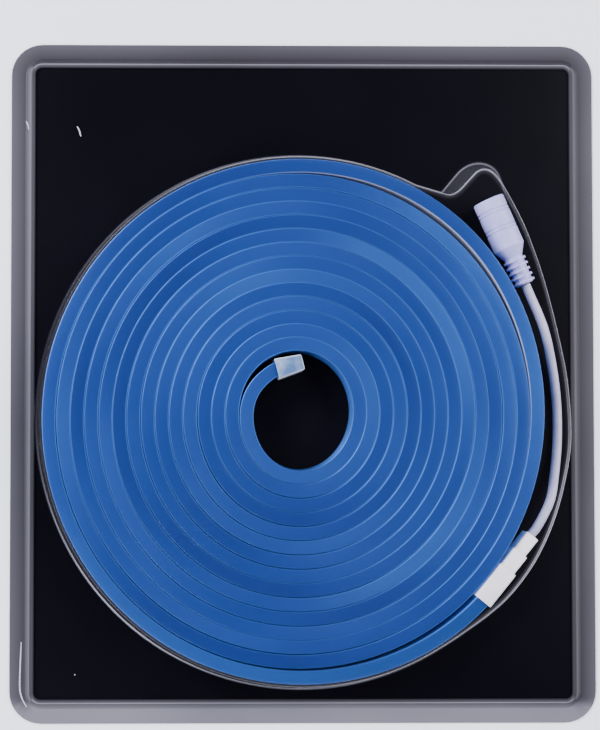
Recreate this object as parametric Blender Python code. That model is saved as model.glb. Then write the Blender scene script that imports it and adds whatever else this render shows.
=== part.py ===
"""LED strip light: a long silicone strip wound flat, in its clear blister on a black board.

Metres, +Z up. The pack lies on its back with its origin under the middle of the blister's
flange. The strip stands on edge and winds outwards anticlockwise, seen from above.
"""

import math

import bmesh
import bpy
from mathutils import Vector

# Strip: a silicone section on edge, its light-emitting face upwards
STRIP_WIDTH = 0.0047
STRIP_HEIGHT = 0.012
TURN_GAP = 0.00025
BORE_RADIUS = 0.01665
FULL_TURNS = 14
START_ANGLE = 109.0
END_ANGLE = 316.0
STATION_ANGLE = 7.5

# Small departures of the real winding from an even spiral
OVAL = 0.0012
BORE_SHIFT = 0.0028
RIM_SHIFT = 0.0012
SHIFT_ANGLE = 52.0
END_TUCK = 0.0023
END_TUCK_SPREAD = 40.0
LOOSE_GAP = 0.0018
LOOSE_ANGLE = 50.0
LOOSE_SPREAD = 36.0
END_LIFT = 0.0017
END_LIFT_SPREAD = 45.0

# Fittings at the two ends of the strip
SLEEVE_WALL = 0.0006
SLEEVE_GAP = 0.0003
SLEEVE_CHAMFER = 0.0006
HOLLOW_CHAMFER = 0.0002
END_CAP_LENGTH = 0.0096
END_CAP_INSERT = 0.0048
END_CAP_SIDE_WALL = 0.001
END_CAP_TAPER = 0.0009
END_CAP_LEAN = 4.0
WIRE_CAP_INSERT = 0.0105
WIRE_CAP_SLEEVE = 0.0145
WIRE_CAP_COLLAR = 0.0075
WIRE_CAP_NECK = 0.0075
WIRE_CAP_SIDE_WALL = 0.0008
WIRE_CAP_STEP = 0.0005
WIRE_CAP_HEIGHT_STEP = 0.0012
WIRE_CAP_LEAN = 5.0

# Lead and its socket, lying in the side pocket
LEAD_DIAMETER = 0.0033
LEAD_STRAIGHT = 0.004
SOCKET_RADIUS = 0.00565
SOCKET_HEAD_LENGTH = 0.0215
SOCKET_RELIEF_LENGTH = 0.0118
SOCKET_RELIEF_RADIUS = 0.0043
SOCKET_TAIL_RADIUS = 0.0031
SOCKET_BORE_RADIUS = 0.0034
SOCKET_BORE_DEPTH = 0.0095
SOCKET_EDGE = 0.00045
GROOVE_PLACES = (0.0031, 0.009)
GROOVE_DEPTH = 0.00045
GROOVE_WIDTH = 0.0009
RELIEF_RIBS = 4
RIB_GROOVE = 0.0012
RIB_SLOPE = 0.0003
CONTACT_WALL = 0.0004
PIN_RADIUS = 0.00105
PIN_CHAMFER = 0.0005
PIN_SETBACK = 0.0008

# Board, blister film and pocket
BOARD_THICKNESS = 0.0015
BOARD_CORNER = 0.003
FILM = 0.0005
SEAT_GAP = 0.0003
WALL_CLEARANCE = 0.0003
WALL_DRAFT = 0.0035
POCKET_FILLET = 0.0009
SIDE_MARGIN = 0.0008
BOTTOM_MARGIN = 0.0039
TOP_MARGIN = 0.0327
EDGE_CLEARANCE = 0.0004
STEP_RUN = 0.0022
FLANGE_WIDTH = 0.0085
FLANGE_CORNER = 0.009

# Side pocket: angle about the coil's centre, and distance out from the coil's edge radius
POCKET_ROUTE = (
    (306.0, 0.0017), (310.5, 0.0022), (315.0, 0.0031), (320.0, 0.0041), (326.0, 0.0046),
    (332.0, 0.0047), (339.0, 0.0045), (347.0, 0.0042), (356.0, 0.0042), (8.0, 0.0038),
    (19.0, 0.0046), (28.5, 0.0074),
    (35.0, 0.0103), (41.0, 0.0136), (47.0, 0.0170), (50.2, 0.0187), (52.2, 0.0186),
    (53.4, 0.0164), (53.8, 0.0120), (54.2, 0.0066), (55.3, 0.0034), (57.6, 0.0020),
)
ARC_STEP = 5.0
POCKET_STEPS = 3

# Socket ends and lead: angle, distance out from the coil's edge radius
SOCKET_HEAD = (48.4, 0.0133)
SOCKET_TAIL = (30.3, 0.0041)
LEAD_ROUTE = (
    (20.0, 0.0029, 0.0052), (12.0, 0.0029, 0.0020), (4.0, 0.0032, 0.0), (356.0, 0.0034, 0.0),
    (348.5, 0.0037, 0.0012), (342.5, 0.0036, 0.0045),
)
LEAD_POINTS = 18
LEAD_STEPS = 8
ROUND_SEGMENTS = 24
SHARP_ANGLE = 35.0

PITCH = STRIP_WIDTH + TURN_GAP
TURNS = FULL_TURNS + (END_ANGLE - START_ANGLE) / 360.0
COIL_RADIUS = BORE_RADIUS + PITCH * TURNS + STRIP_WIDTH
STRIP_BOTTOM = BOARD_THICKNESS + SEAT_GAP + SLEEVE_WALL + SLEEVE_GAP
STRIP_TOP = STRIP_BOTTOM + STRIP_HEIGHT
STRIP_MIDDLE = STRIP_BOTTOM + STRIP_HEIGHT / 2.0
LAND_INSIDE = BOARD_THICKNESS + SEAT_GAP
LAND_TOP = LAND_INSIDE + FILM
POCKET_INSIDE = STRIP_TOP + SLEEVE_GAP + SLEEVE_WALL + SEAT_GAP
POCKET_TOP = POCKET_INSIDE + FILM
SOCKET_AXIS = BOARD_THICKNESS + SEAT_GAP + SOCKET_RADIUS
LEAD_REST = BOARD_THICKNESS + SEAT_GAP + LEAD_DIAMETER / 2.0


def clear_scene():
    for item in list(bpy.data.objects):
        bpy.data.objects.remove(item, do_unlink=True)


def material(name, color, roughness, alpha=1.0, metallic=0.0):
    made = bpy.data.materials.new(name)
    made.use_nodes = True
    shader = made.node_tree.nodes["Principled BSDF"]
    shader.inputs["Base Color"].default_value = (*color, 1.0)
    shader.inputs["Roughness"].default_value = roughness
    shader.inputs["Metallic"].default_value = metallic
    shader.inputs["Alpha"].default_value = alpha
    made.diffuse_color = (*color, alpha)
    return made


def add_object(name, mesh, finish=None):
    piece = bpy.data.objects.new(name, mesh)
    if finish is not None:
        mesh.materials.append(finish)
    bpy.context.collection.objects.link(piece)
    return piece


def polar(angle, radius):
    turn = math.radians(angle)
    return Vector((radius * math.cos(turn), radius * math.sin(turn), 0.0))


def smooth_route(points, steps):
    """Points of a smooth curve through the given ones, with steps to each stretch."""
    route = []
    for index in range(len(points) - 1):
        before = points[max(index - 1, 0)]
        here = points[index]
        there = points[index + 1]
        after = points[min(index + 2, len(points) - 1)]
        for step in range(steps):
            t = step / steps
            route.append(0.5 * (2.0 * here + (there - before) * t
                                + (2.0 * before - 5.0 * here + 4.0 * there - after) * t ** 2
                                + (3.0 * here - before - 3.0 * there + after) * t ** 3))
    route.append(points[-1].copy())
    return route


def even_points(points, count):
    """The same route again, as points that lie evenly along it."""
    lengths = [0.0]
    for here, there in zip(points, points[1:]):
        lengths.append(lengths[-1] + (there - here).length)
    spaced = []
    index = 0
    for number in range(count):
        wanted = lengths[-1] * number / (count - 1)
        while index < len(points) - 2 and lengths[index + 1] < wanted:
            index += 1
        share = (wanted - lengths[index]) / (lengths[index + 1] - lengths[index])
        spaced.append(points[index].lerp(points[index + 1], share))
    return spaced


def inner_edge(angle):
    """Radius of the strip's inner face, at an angle that counts on from START_ANGLE."""
    wound = angle - START_ANGLE
    share = wound / (360.0 * TURNS)
    last = START_ANGLE + 360.0 * TURNS
    loose = last - END_ANGLE + LOOSE_ANGLE
    shift = BORE_SHIFT + (RIM_SHIFT - BORE_SHIFT) * share
    radius = BORE_RADIUS + PITCH * wound / 360.0
    radius += shift * math.cos(math.radians(angle - SHIFT_ANGLE))
    radius -= OVAL * math.cos(math.radians(2.0 * angle))
    radius -= END_TUCK * math.exp(-(wound / END_TUCK_SPREAD) ** 2)
    radius += LOOSE_GAP * math.exp(-((angle - loose) / LOOSE_SPREAD) ** 2)
    radius += END_LIFT * math.exp(-((angle - last) / END_LIFT_SPREAD) ** 2)
    return radius


def last_turn(angle):
    """The winding angle at which the strip's last turn points this way."""
    last = START_ANGLE + 360.0 * TURNS
    return last - (END_ANGLE - angle) % 360.0


def strip_middle(angle):
    return polar(angle, inner_edge(angle) + STRIP_WIDTH / 2.0)


def strip_end(first):
    """Middle of the strip where it enters a fitting, and the direction it goes in."""
    angle = START_ANGLE if first else START_ANGLE + 360.0 * TURNS
    if first:
        return strip_middle(angle), polar(angle - 90.0 - END_CAP_LEAN, 1.0)
    return strip_middle(angle), polar(angle + 90.0 + WIRE_CAP_LEAN, 1.0)


def ring_mesh(name, rings, smooth=False):
    """A closed body skinned over rings of equal point counts, with a face on each end."""
    mesh = bpy.data.meshes.new(name)
    skin = bmesh.new()
    loops = [[skin.verts.new(point) for point in ring] for ring in rings]
    count = len(loops[0])
    for lower, upper in zip(loops, loops[1:]):
        for index in range(count):
            after = (index + 1) % count
            skin.faces.new((lower[index], lower[after], upper[after], upper[index]))
    ends = [skin.faces.new(list(reversed(loops[0]))), skin.faces.new(loops[-1])]
    bmesh.ops.triangulate(skin, faces=[end for end in ends if len(end.verts) > 4])
    bmesh.ops.recalc_face_normals(skin, faces=skin.faces)
    skin.to_mesh(mesh)
    skin.free()
    if smooth:
        mesh.shade_smooth()
        mesh.set_sharp_from_angle(angle=math.radians(SHARP_ANGLE))
    return mesh


def box_ring(centre, forward, half_width, low, high, chamfer=0.0):
    """A four- or eight-sided ring across the direction forward, from low to high."""
    side = Vector((-forward.y, forward.x, 0.0))
    if chamfer == 0.0:
        corners = [(-half_width, low), (half_width, low), (half_width, high), (-half_width, high)]
    else:
        inset = half_width - chamfer
        corners = [(-inset, low), (inset, low),
                   (half_width, low + chamfer), (half_width, high - chamfer),
                   (inset, high), (-inset, high),
                   (-half_width, high - chamfer), (-half_width, low + chamfer)]
    ring = []
    for across, height in corners:
        place = centre + side * across
        ring.append(Vector((place.x, place.y, height)))
    return ring


def build_strip(centre, finish):
    """The strip itself: a flat spiral, with a straight tail in the fitting at each end."""
    rings = []
    stations = round(360.0 * TURNS / STATION_ANGLE)
    start, start_way = strip_end(True)
    end, end_way = strip_end(False)
    tail = start + start_way * (END_CAP_INSERT - SLEEVE_GAP)
    rings.append(box_ring(centre + tail, -start_way, STRIP_WIDTH / 2.0, STRIP_BOTTOM, STRIP_TOP))
    for station in range(stations + 1):
        angle = START_ANGLE + 360.0 * TURNS * station / stations
        inside = centre + polar(angle, inner_edge(angle))
        outside = centre + polar(angle, inner_edge(angle) + STRIP_WIDTH)
        rings.append(raised([outside, inside], STRIP_BOTTOM) + raised([inside, outside], STRIP_TOP))
    tail = end + end_way * (WIRE_CAP_INSERT - SLEEVE_GAP)
    rings.append(box_ring(centre + tail, end_way, STRIP_WIDTH / 2.0, STRIP_BOTTOM, STRIP_TOP))
    return add_object("neon_strip", ring_mesh("neon_strip", rings), finish)


def sleeve_rings(mouth, forward, insert, outside):
    """Rings of a moulded sleeve: its blind hollow first, then its outside along forward."""
    hollow = STRIP_WIDTH / 2.0 + SLEEVE_GAP
    low = STRIP_BOTTOM - SLEEVE_GAP
    high = STRIP_TOP + SLEEVE_GAP
    rings = [box_ring(mouth + forward * insert, forward, hollow, low, high, HOLLOW_CHAMFER),
             box_ring(mouth, forward, hollow, low, high, HOLLOW_CHAMFER)]
    for along, half_width, drop in outside:
        rings.append(box_ring(mouth + forward * along, forward, half_width,
                              low - SLEEVE_WALL + drop, high + SLEEVE_WALL - drop, SLEEVE_CHAMFER))
    return rings


def build_end_cap(centre, finish):
    """Moulded cap on the strip's inner end, narrower towards its closed end."""
    point, forward = strip_end(True)
    half_width = STRIP_WIDTH / 2.0 + SLEEVE_GAP + END_CAP_SIDE_WALL
    outside = [(0.0, half_width, 0.0), (END_CAP_INSERT, half_width - END_CAP_TAPER / 2.0, 0.0),
               (END_CAP_LENGTH, half_width - END_CAP_TAPER, 0.0)]
    rings = sleeve_rings(centre + point, forward, END_CAP_INSERT, outside)
    return add_object("end_cap", ring_mesh("end_cap", rings), finish)


def wire_cap_stations():
    """Outside of the wired fitting: sleeve, collar and neck, each a step smaller."""
    sleeve = STRIP_WIDTH / 2.0 + SLEEVE_GAP + WIRE_CAP_SIDE_WALL
    collar = sleeve - WIRE_CAP_STEP
    neck = collar - WIRE_CAP_STEP
    collar_end = WIRE_CAP_SLEEVE + WIRE_CAP_COLLAR
    neck_end = collar_end + WIRE_CAP_NECK
    drop = WIRE_CAP_HEIGHT_STEP
    return [(0.0, sleeve, 0.0), (WIRE_CAP_SLEEVE, sleeve, 0.0), (WIRE_CAP_SLEEVE, collar, drop),
            (collar_end, collar, drop), (collar_end, neck, 2.0 * drop), (neck_end, neck, 2.0 * drop)]


def build_wire_cap(centre, finish):
    """Moulded fitting on the strip's outer end, which the lead comes out of."""
    point, forward = strip_end(False)
    rings = sleeve_rings(centre + point, forward, WIRE_CAP_INSERT, wire_cap_stations())
    return add_object("wire_end_cap", ring_mesh("wire_end_cap", rings), finish)


def socket_frame(centre):
    """The middle of the socket's front face, and the direction from it to the lead."""
    head = centre + polar(SOCKET_HEAD[0], COIL_RADIUS + SOCKET_HEAD[1])
    tail = centre + polar(SOCKET_TAIL[0], COIL_RADIUS + SOCKET_TAIL[1])
    head.z = SOCKET_AXIS
    tail.z = SOCKET_AXIS
    return head, (tail - head).normalized()


def turned_ring(start, forward, along, radius):
    side = Vector((-forward.y, forward.x, 0.0))
    ring = []
    for index in range(ROUND_SEGMENTS):
        turn = 2.0 * math.pi * (index + 0.5) / ROUND_SEGMENTS
        out = side * math.cos(turn) + Vector((0.0, 0.0, math.sin(turn)))
        ring.append(start + forward * along + out * radius)
    return ring


def socket_profile():
    """Outside of the socket body as (distance from the front face, radius)."""
    profile = [(0.0, SOCKET_RADIUS - SOCKET_EDGE), (SOCKET_EDGE, SOCKET_RADIUS)]
    for middle in GROOVE_PLACES:
        profile += [(middle - GROOVE_WIDTH / 2.0, SOCKET_RADIUS),
                    (middle - GROOVE_WIDTH / 4.0, SOCKET_RADIUS - GROOVE_DEPTH),
                    (middle + GROOVE_WIDTH / 4.0, SOCKET_RADIUS - GROOVE_DEPTH),
                    (middle + GROOVE_WIDTH / 2.0, SOCKET_RADIUS)]
    profile += [(SOCKET_HEAD_LENGTH - SOCKET_EDGE, SOCKET_RADIUS),
                (SOCKET_HEAD_LENGTH, SOCKET_RADIUS - SOCKET_EDGE)]
    for number in range(RELIEF_RIBS):
        start = SOCKET_HEAD_LENGTH + SOCKET_RELIEF_LENGTH * number / RELIEF_RIBS
        end = SOCKET_HEAD_LENGTH + SOCKET_RELIEF_LENGTH * (number + 1) / RELIEF_RIBS
        share = number / (RELIEF_RIBS - 1)
        radius = SOCKET_RELIEF_RADIUS + (SOCKET_TAIL_RADIUS - SOCKET_RELIEF_RADIUS) * share
        groove_end = start + RIB_SLOPE / 2.0 + RIB_GROOVE
        profile += [(start + RIB_SLOPE / 2.0, radius - GROOVE_DEPTH), (groove_end, radius - GROOVE_DEPTH),
                    (groove_end + RIB_SLOPE, radius), (end, radius)]
    return profile


def build_socket(centre, finish, metal):
    """Moulded round socket with its strain relief, contact sleeve and centre pin."""
    head, forward = socket_frame(centre)
    rings = [turned_ring(head, forward, SOCKET_BORE_DEPTH, SOCKET_BORE_RADIUS),
             turned_ring(head, forward, 0.0, SOCKET_BORE_RADIUS)]
    rings += [turned_ring(head, forward, along, radius) for along, radius in socket_profile()]
    add_object("socket_body", ring_mesh("socket_body", rings, smooth=True), finish)

    outer = SOCKET_BORE_RADIUS - SEAT_GAP
    inner = outer - CONTACT_WALL
    back = SOCKET_BORE_DEPTH - SEAT_GAP
    floor = back - CONTACT_WALL
    rings = [turned_ring(head, forward, floor, inner), turned_ring(head, forward, SEAT_GAP, inner),
             turned_ring(head, forward, SEAT_GAP, outer), turned_ring(head, forward, back, outer)]
    add_object("socket_contact", ring_mesh("socket_contact", rings, smooth=True), metal)

    rings = [turned_ring(head, forward, floor - SEAT_GAP, PIN_RADIUS),
             turned_ring(head, forward, PIN_SETBACK + PIN_CHAMFER, PIN_RADIUS),
             turned_ring(head, forward, PIN_SETBACK, PIN_RADIUS - PIN_CHAMFER)]
    add_object("centre_pin", ring_mesh("centre_pin", rings, smooth=True), metal)


def lead_route(centre):
    """Smooth route of the lead, from the wired fitting round to the socket's strain relief."""
    head, back = socket_frame(centre)
    tail = head + back * (SOCKET_HEAD_LENGTH + SOCKET_RELIEF_LENGTH + SEAT_GAP)
    mouth, forward = strip_end(False)
    neck = centre + mouth + forward * (WIRE_CAP_SLEEVE + WIRE_CAP_COLLAR + WIRE_CAP_NECK + SEAT_GAP)
    neck.z = STRIP_MIDDLE
    points = [tail, tail + back * LEAD_STRAIGHT]
    for angle, stand_off, lift in LEAD_ROUTE:
        point = centre + polar(angle, COIL_RADIUS + stand_off)
        point.z = LEAD_REST + lift
        points.append(point)
    points += [neck + forward * LEAD_STRAIGHT, neck]
    return even_points(smooth_route(points, LEAD_STEPS), LEAD_POINTS)


def build_lead(centre, finish):
    curve = bpy.data.curves.new("lead", "CURVE")
    curve.dimensions = "3D"
    curve.bevel_depth = LEAD_DIAMETER / 2.0
    curve.bevel_resolution = 2
    curve.use_fill_caps = True
    curve.resolution_u = 1
    spline = curve.splines.new("POLY")
    route = lead_route(centre)
    spline.points.add(len(route) - 1)
    for point, place in zip(spline.points, route):
        point.co = (*place, 1.0)
    return add_object("lead", curve, finish)


def pocket_outline():
    """Inner face of the pocket's wall at its top, about the coil's centre, anticlockwise."""
    first = POCKET_ROUTE[-1][0]
    last = POCKET_ROUTE[0][0]
    arc_start = first + ARC_STEP
    arc_end = last - ARC_STEP
    count = round((arc_end - arc_start) / ARC_STEP)
    arc = []
    for index in range(count + 1):
        angle = arc_start + (arc_end - arc_start) * index / count
        arc.append(polar(angle, inner_edge(last_turn(angle)) + STRIP_WIDTH + WALL_CLEARANCE))
    bend = [arc[-1]]
    for angle, stand_off in POCKET_ROUTE:
        bend.append(polar(angle, COIL_RADIUS + WALL_CLEARANCE + stand_off))
    bend.append(arc[0])
    return arc + smooth_route(bend, POCKET_STEPS)[1:-1]


def grown(outline, distance):
    """The same closed outline moved outwards by a distance, point by point."""
    moved = []
    count = len(outline)
    for index, point in enumerate(outline):
        along = (outline[(index + 1) % count] - outline[index - 1]).normalized()
        moved.append(point + Vector((along.y, -along.x, 0.0)) * distance)
    return moved


def raised(outline, height):
    return [Vector((point.x, point.y, height)) for point in outline]


def reach(outline):
    xs = [point.x for point in outline]
    ys = [point.y for point in outline]
    return min(xs), max(xs), min(ys), max(ys)


def rounded_rectangle(half_x, half_y, corner, steps=6):
    points = []
    for number, (sign_x, sign_y) in enumerate(((1, 1), (-1, 1), (-1, -1), (1, -1))):
        middle = Vector((sign_x * (half_x - corner), sign_y * (half_y - corner), 0.0))
        for step in range(steps + 1):
            points.append(middle + polar(90.0 * number + 90.0 * step / steps, corner))
    return points


def build_board(half_x, half_y, finish):
    outline = rounded_rectangle(half_x, half_y, BOARD_CORNER)
    rings = [raised(outline, 0.0), raised(outline, BOARD_THICKNESS)]
    return add_object("backing_board", ring_mesh("backing_board", rings), finish)


def tool_object(name, rings):
    piece = add_object(name, ring_mesh(name, rings))
    piece.hide_render = True
    piece.display_type = "WIRE"
    return piece


def boolean(piece, operation, tool):
    step = piece.modifiers.new(tool.name, "BOOLEAN")
    step.operation = operation
    step.solver = "EXACT"
    step.object = tool


def build_blister(half_x, half_y, outline, finish):
    """Thin formed film: flange, step up on to the board, and the pocket round the coil."""
    step_foot = EDGE_CLEARANCE + STEP_RUN
    slope = STEP_RUN / LAND_INSIDE
    flange = rounded_rectangle(half_x + FLANGE_WIDTH, half_y + FLANGE_WIDTH, FLANGE_CORNER)
    sheet = ring_mesh("clear_blister", [raised(flange, 0.0), raised(flange, FILM)])
    blister = add_object("clear_blister", sheet, finish)

    def board_ring(out, height):
        return raised(rounded_rectangle(half_x + out, half_y + out, BOARD_CORNER + out), height)

    def pocket_ring(out, height):
        return raised(grown(outline, out), height)

    boolean(blister, "UNION", tool_object("land_form", [
        board_ring(step_foot + FILM + slope * FILM / 2.0, FILM / 2.0),
        board_ring(EDGE_CLEARANCE + FILM, LAND_TOP)]))
    boolean(blister, "UNION", tool_object("pocket_form", [
        pocket_ring(WALL_DRAFT + FILM, LAND_INSIDE + FILM / 2.0),
        pocket_ring(FILM, POCKET_TOP - POCKET_FILLET), pocket_ring(FILM - POCKET_FILLET, POCKET_TOP)]))
    boolean(blister, "DIFFERENCE", tool_object("land_hollow", [
        board_ring(step_foot + slope * FILM, -FILM), board_ring(EDGE_CLEARANCE, LAND_INSIDE)]))
    boolean(blister, "DIFFERENCE", tool_object("pocket_hollow", [
        pocket_ring(WALL_DRAFT, LAND_INSIDE - FILM / 2.0),
        pocket_ring(0.0, POCKET_INSIDE - POCKET_FILLET + FILM / 2.0),
        pocket_ring(FILM / 2.0 - POCKET_FILLET, POCKET_INSIDE)]))
    return blister


def main():
    clear_scene()
    silicone = material("blue_silicone", (0.03, 0.16, 0.52), 0.42)
    clear_silicone = material("clear_cap", (0.72, 0.76, 0.80), 0.35)
    white_fitting = material("white_fitting", (0.80, 0.79, 0.74), 0.45)
    white_lead = material("white_lead", (0.82, 0.78, 0.80), 0.5)
    white_socket = material("white_socket", (0.82, 0.83, 0.88), 0.4)
    contact_metal = material("contact_metal", (0.75, 0.74, 0.72), 0.3, metallic=1.0)
    black_board = material("black_board", (0.012, 0.012, 0.018), 0.4)
    clear_film = material("clear_film", (0.75, 0.76, 0.82), 0.08, alpha=0.2)

    outline = pocket_outline()
    left, right, bottom, top = reach(grown(outline, WALL_DRAFT + FILM))
    half_x = (right - left) / 2.0 + SIDE_MARGIN
    half_y = (top - bottom + BOTTOM_MARGIN + TOP_MARGIN) / 2.0
    centre = Vector((-(left + right) / 2.0, BOTTOM_MARGIN - bottom - half_y, 0.0))
    outline = [centre + point for point in outline]

    build_board(half_x, half_y, black_board)
    build_blister(half_x, half_y, outline, clear_film)
    build_strip(centre, silicone)
    build_end_cap(centre, clear_silicone)
    build_wire_cap(centre, white_fitting)
    build_socket(centre, white_socket, contact_metal)
    build_lead(centre, white_lead)


main()
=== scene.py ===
import math

import bmesh
import bpy
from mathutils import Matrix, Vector


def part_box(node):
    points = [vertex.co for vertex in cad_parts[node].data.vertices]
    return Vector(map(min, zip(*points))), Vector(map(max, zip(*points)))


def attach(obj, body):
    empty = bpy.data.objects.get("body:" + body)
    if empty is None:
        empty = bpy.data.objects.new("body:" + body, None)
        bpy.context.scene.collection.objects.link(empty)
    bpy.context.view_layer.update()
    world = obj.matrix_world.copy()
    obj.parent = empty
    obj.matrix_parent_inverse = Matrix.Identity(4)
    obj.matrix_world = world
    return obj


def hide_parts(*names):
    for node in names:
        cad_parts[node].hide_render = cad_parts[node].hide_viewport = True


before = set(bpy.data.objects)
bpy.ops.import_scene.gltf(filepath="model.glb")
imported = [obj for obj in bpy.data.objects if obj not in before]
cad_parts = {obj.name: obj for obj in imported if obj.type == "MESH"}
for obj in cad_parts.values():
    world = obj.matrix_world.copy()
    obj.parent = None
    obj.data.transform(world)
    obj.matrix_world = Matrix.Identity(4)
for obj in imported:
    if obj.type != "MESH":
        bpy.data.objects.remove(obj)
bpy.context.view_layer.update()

# LED strip light wound flat in its blister pack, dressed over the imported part. Metres, +Z up.


# Small helpers: colours, nodes, points

def linearColour(hexValue):
    parts = [int(hexValue[place:place + 2], 16) / 255.0 for place in (1, 3, 5)]
    linear = [part / 12.92 if part <= 0.04045 else ((part + 0.055) / 1.055) ** 2.4 for part in parts]
    return (*linear, 1.0)


def addNode(tree, kind, inputs=None, links=None, stops=(), **settings):
    # Stops are for a colour ramp, as (place, hex colour)
    node = tree.nodes.new(kind)
    for name, value in settings.items():
        setattr(node, name, value)
    for socket, value in (inputs or {}).items():
        node.inputs[socket].default_value = value
    for socket, source in (links or {}).items():
        tree.links.new(source, node.inputs[socket])
    if stops:
        elements = node.color_ramp.elements
        while len(elements) < len(stops):
            elements.new(0.5)
        for element, (place, hexValue) in zip(elements, stops):
            element.position = place
            element.color = linearColour(hexValue)
    return node


def startMaterial(name):
    material = bpy.data.materials.new(name)
    material.use_nodes = True
    tree = material.node_tree
    tree.nodes.clear()
    return material, tree, addNode(tree, "ShaderNodeOutputMaterial")


def polar(angle, radius):
    turn = math.radians(angle)
    return Vector((radius * math.cos(turn), radius * math.sin(turn), 0.0))


def raised(points, height):
    return [Vector((point.x, point.y, height)) for point in points]


def smoothRoute(points, steps):
    # Catmull-Rom curve through the points
    route = []
    for index in range(len(points) - 1):
        before = points[max(index - 1, 0)]
        here = points[index]
        there = points[index + 1]
        after = points[min(index + 2, len(points) - 1)]
        for step in range(steps):
            t = step / steps
            route.append(0.5 * (2.0 * here + (there - before) * t
                                + (2.0 * before - 5.0 * here + 4.0 * there - after) * t ** 2
                                + (3.0 * here - before - 3.0 * there + after) * t ** 3))
    route.append(points[-1].copy())
    return route


def grown(outline, distance, *wider):
    # A closed outline, anticlockwise, moved outwards point by point, and further in the wider sectors
    moved = []
    for index, point in enumerate(outline):
        along = (outline[(index + 1) % len(outline)] - outline[index - 1]).normalized()
        reach = distance + max(distance, 0.0) * roundTone(angleOf(point), 0.0, *wider)
        moved.append(point + Vector((along.y, -along.x, 0.0)) * reach)
    return moved


def roundedProfile(corners, radii, steps=5):
    # An open profile of 2-D points, with each corner between its ends rounded to its own radius
    profile = [corners[0]]
    for before, corner, after, radius in zip(corners, corners[1:], corners[2:], radii):
        back = (before - corner).normalized()
        ahead = (after - corner).normalized()
        half = back.angle(ahead) / 2.0
        middle = corner + (back + ahead).normalized() * (radius / math.sin(half))
        first = corner + back * (radius / math.tan(half)) - middle
        last = corner + ahead * (radius / math.tan(half)) - middle
        sweep = math.pi - 2.0 * half
        for step in range(steps + 1):
            share = step / steps
            mixed = first * math.sin((1.0 - share) * sweep) + last * math.sin(share * sweep)
            profile.append(middle + mixed / math.sin(sweep))
    profile.append(corners[-1])
    return profile


def roundTone(angle, base, *sectors):
    # A tone that swells or fades in sectors round the coil, each as (angle, spread, amount)
    tone = base
    for middle, spread, amount in sectors:
        away = (angle - middle + 180.0) % 360.0 - 180.0
        tone += amount * math.exp(-(away / spread) ** 2)
    return min(max(tone, 0.0), 1.0)


def angleOf(place):
    away = place - coilCentre
    return math.degrees(math.atan2(away.y, away.x))


def pairs(*values):
    return [Vector(value) for value in values]


def skinRings(rings, skin=None):
    # A closed body skinned over rings of equal point counts, added to the skin if there is one
    if skin is None:
        skin = bmesh.new()
    loops = [[skin.verts.new(point) for point in ring] for ring in rings]
    count = len(loops[0])
    for lower, upper in zip(loops, loops[1:]):
        for index in range(count):
            after = (index + 1) % count
            skin.faces.new((lower[index], lower[after], upper[after], upper[index]))
    skin.faces.new(list(reversed(loops[0])))
    skin.faces.new(loops[-1])
    bmesh.ops.recalc_face_normals(skin, faces=skin.faces)
    return skin


def smoothMesh(name, skin, sharpDegrees=40.0):
    mesh = bpy.data.meshes.new(name)
    skin.to_mesh(mesh)
    skin.free()
    mesh.shade_smooth()
    mesh.set_sharp_from_angle(angle=math.radians(sharpDegrees))
    return mesh


def addPiece(name, data, material=None):
    piece = bpy.data.objects.new(name, data)
    bpy.context.scene.collection.objects.link(piece)
    if material is not None:
        data.materials.append(material)
    return piece


def settle(piece, slotName, *nodes):
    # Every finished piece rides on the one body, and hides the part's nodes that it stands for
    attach(piece, "root")
    if nodes:
        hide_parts(*nodes)


def setInputs(modifier, values):
    for item in modifier.node_group.interface.items_tree:
        if item.item_type == "SOCKET" and item.in_out == "INPUT" and item.name in values:
            modifier[item.identifier] = values[item.name]


def bakeModifiers(piece):
    # The evaluated result as a plain mesh, with the modifiers gone
    graph = bpy.context.evaluated_depsgraph_get()
    mesh = bpy.data.meshes.new_from_object(
        piece.evaluated_get(graph), preserve_all_data_layers=True, depsgraph=graph)
    mesh.name = piece.name
    piece.modifiers.clear()
    piece.data = mesh


# The winding as the part has it: angles in degrees that count on from the strip's inner end
winding = {
    "width": 0.0047, "gap": 0.00025, "bore": 0.01665, "fullTurns": 14,
    "startAngle": 109.0, "endAngle": 316.0, "partStation": 7.5,
    "oval": 0.0012, "boreShift": 0.0028, "rimShift": 0.0012, "shiftAngle": 52.0,
    "endTuck": 0.0023, "endTuckSpread": 40.0,
    "looseGap": 0.0018, "looseAngle": 50.0, "looseSpread": 36.0,
    "endLift": 0.0017, "endLiftSpread": 45.0,
    "capLean": 4.0, "wireCapLean": 5.0,
}
pitch = winding["width"] + winding["gap"]
turns = winding["fullTurns"] + (winding["endAngle"] - winding["startAngle"]) / 360.0
firstAngle = winding["startAngle"]
lastAngle = firstAngle + 360.0 * turns
coilRadius = winding["bore"] + pitch * turns + winding["width"]


def innerEdge(angle):
    # Radius of the strip's inner face
    wound = angle - firstAngle
    loose = lastAngle - winding["endAngle"] + winding["looseAngle"]
    share = wound / (360.0 * turns)
    shift = winding["boreShift"] + (winding["rimShift"] - winding["boreShift"]) * share
    radius = winding["bore"] + pitch * wound / 360.0
    radius += shift * math.cos(math.radians(angle - winding["shiftAngle"]))
    radius -= winding["oval"] * math.cos(math.radians(2.0 * angle))
    radius -= winding["endTuck"] * math.exp(-(wound / winding["endTuckSpread"]) ** 2)
    radius += winding["looseGap"] * math.exp(-((angle - loose) / winding["looseSpread"]) ** 2)
    radius += winding["endLift"] * math.exp(-((angle - lastAngle) / winding["endLiftSpread"]) ** 2)
    return radius


def lastTurn(angle):
    return lastAngle - (winding["endAngle"] - angle) % 360.0


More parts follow.
